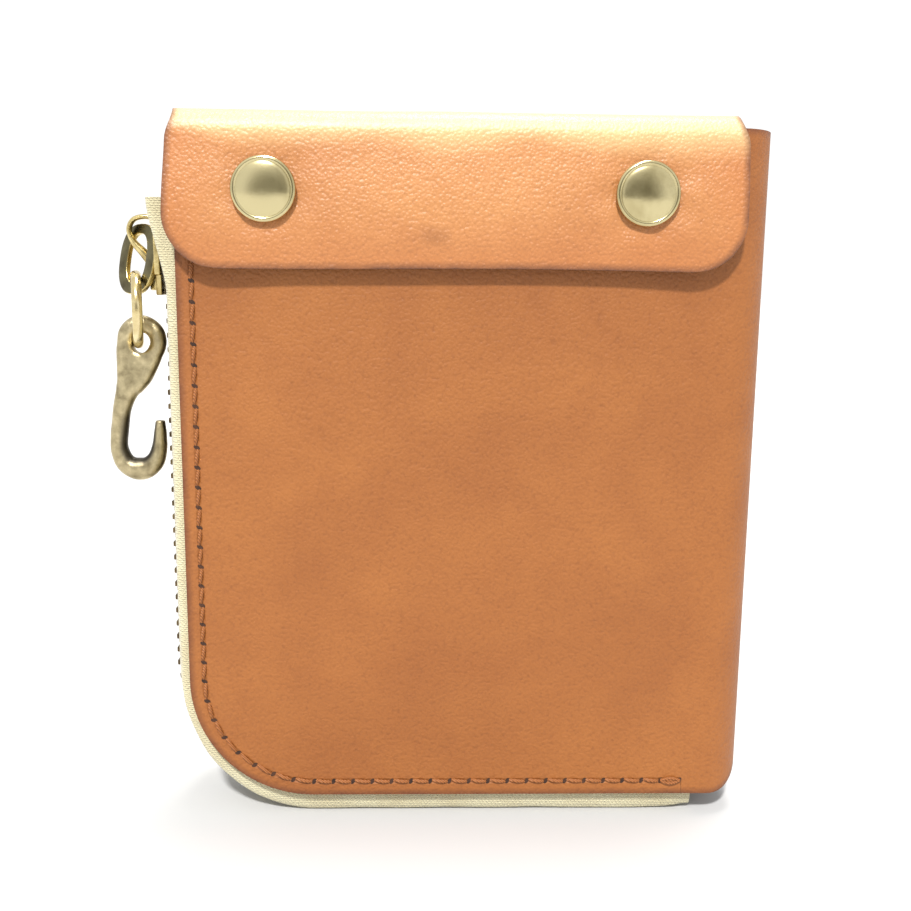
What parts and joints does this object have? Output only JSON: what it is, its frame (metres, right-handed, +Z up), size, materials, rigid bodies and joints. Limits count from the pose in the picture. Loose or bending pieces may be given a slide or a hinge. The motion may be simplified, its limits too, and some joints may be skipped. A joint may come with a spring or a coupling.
{
  "type": "zip wallet with snap flap",
  "caption": "Compact leather wallet with an L-shaped metal zip, a top flap held by press studs, and a hook charm on the slider.",
  "frame": {"origin": "on the surface the wallet stands on, under the middle of the leather body's width and thickness", "axes": "+Z up along the body's height, the snapped face towards -Y, the folded spine towards +X and the zip towards -X"},
  "size_m": [0.133, 0.0335, 0.1423],
  "materials": {
    "outer_leather": "smooth vegetable-tanned leather, natural tan, satin",
    "flap_leather": "vegetable-tanned leather with a fine pebbled grain, satin",
    "inner_leather": "thin unglazed leather",
    "zip_tape": "woven cotton tape, cream",
    "zip_teeth": "dark antique brass",
    "thread": "waxed brown thread",
    "cap_brass": "polished pale brass",
    "stud_metal": "plated brass, satin",
    "slider_brass": "polished brass",
    "ring_brass": "bright brass",
    "antique_brass": "tumbled antique brass, dark in the recesses",
    "spring_steel": "spring steel"
  },
  "bodies": {
    "body": {"outer_shell": "outer_leather", "front_lining": "inner_leather", "back_lining": "inner_leather", "centre_divider": "inner_leather", "card_pocket_rear": "inner_leather", "card_pocket_middle": "inner_leather", "card_pocket_front": "inner_leather", "coin_pocket_panel": "inner_leather", "coin_pocket_gusset": "inner_leather", "zip_tape_front": "zip_tape", "zip_tape_back": "zip_tape", "zip_teeth_front": "zip_teeth", "zip_teeth_back": "zip_teeth", "zip_top_stops": "zip_teeth", "zip_bottom_stop": "zip_teeth", "stitching_front": "thread", "stitching_back": "thread", "stitching_flap": "thread", "flap_anchor": "flap_leather", "stud_left": "stud_metal", "stud_right": "stud_metal", "stud_post_left": "stud_metal", "stud_post_right": "stud_metal"},
    "flap_top": {"flap_bridge": "flap_leather"},
    "flap_front": {"flap_tongue": "flap_leather", "cap_left": "cap_brass", "cap_right": "cap_brass", "socket_left": "stud_metal", "socket_right": "stud_metal", "socket_spring_left": "spring_steel", "socket_spring_right": "spring_steel"},
    "slider": {"slider_body": "slider_brass", "slider_crown": "slider_brass", "slider_lock_spring": "spring_steel"},
    "tab": {"pull_tab": "slider_brass"},
    "ring": {"jump_ring": "ring_brass"},
    "hook": {"hook": "antique_brass"}
  },
  "joints": [
    {"name": "flap_open", "type": "hinge", "parent": "body", "child": "flap_top", "pos_m": [0, 0.01395, 0.1414], "axis": [-1, 0, 0], "range_deg": [0, 110], "deforming": ["socket_spring_left", "socket_spring_right"]},
    {"name": "flap_unroll", "type": "hinge", "parent": "flap_top", "child": "flap_front", "pos_m": [0, -0.0156, 0.1414], "axis": [-1, 0, 0], "range_deg": [0, 66]},
    {"name": "slider_travel", "type": "slide", "parent": "body", "child": "slider", "axis": [0, 0, -1], "range_m": [0, 0.065], "deforming": ["zip_teeth_front", "zip_teeth_back"]},
    {"name": "tab_swing", "type": "hinge", "parent": "slider", "child": "tab", "pos_m": [-0.0665, 0, 0.1205], "axis": [-0.454, 0.891, 0], "range_deg": [0, 130]},
    {"name": "ring_swing", "type": "hinge", "parent": "tab", "child": "ring", "pos_m": [-0.06834, -0.00119, 0.11153], "axis": [0.3, 0.9539, 0], "range_deg": [0, 45]},
    {"name": "hook_swing", "type": "hinge", "parent": "ring", "child": "hook", "pos_m": [-0.06834, -0.00119, 0.09753], "axis": [0, 1, 0], "range_deg": [0, 70]}
  ],
  "couplings": [
    {"joint": "flap_unroll", "follows": "flap_open", "ratio": 0.6}
  ]
}
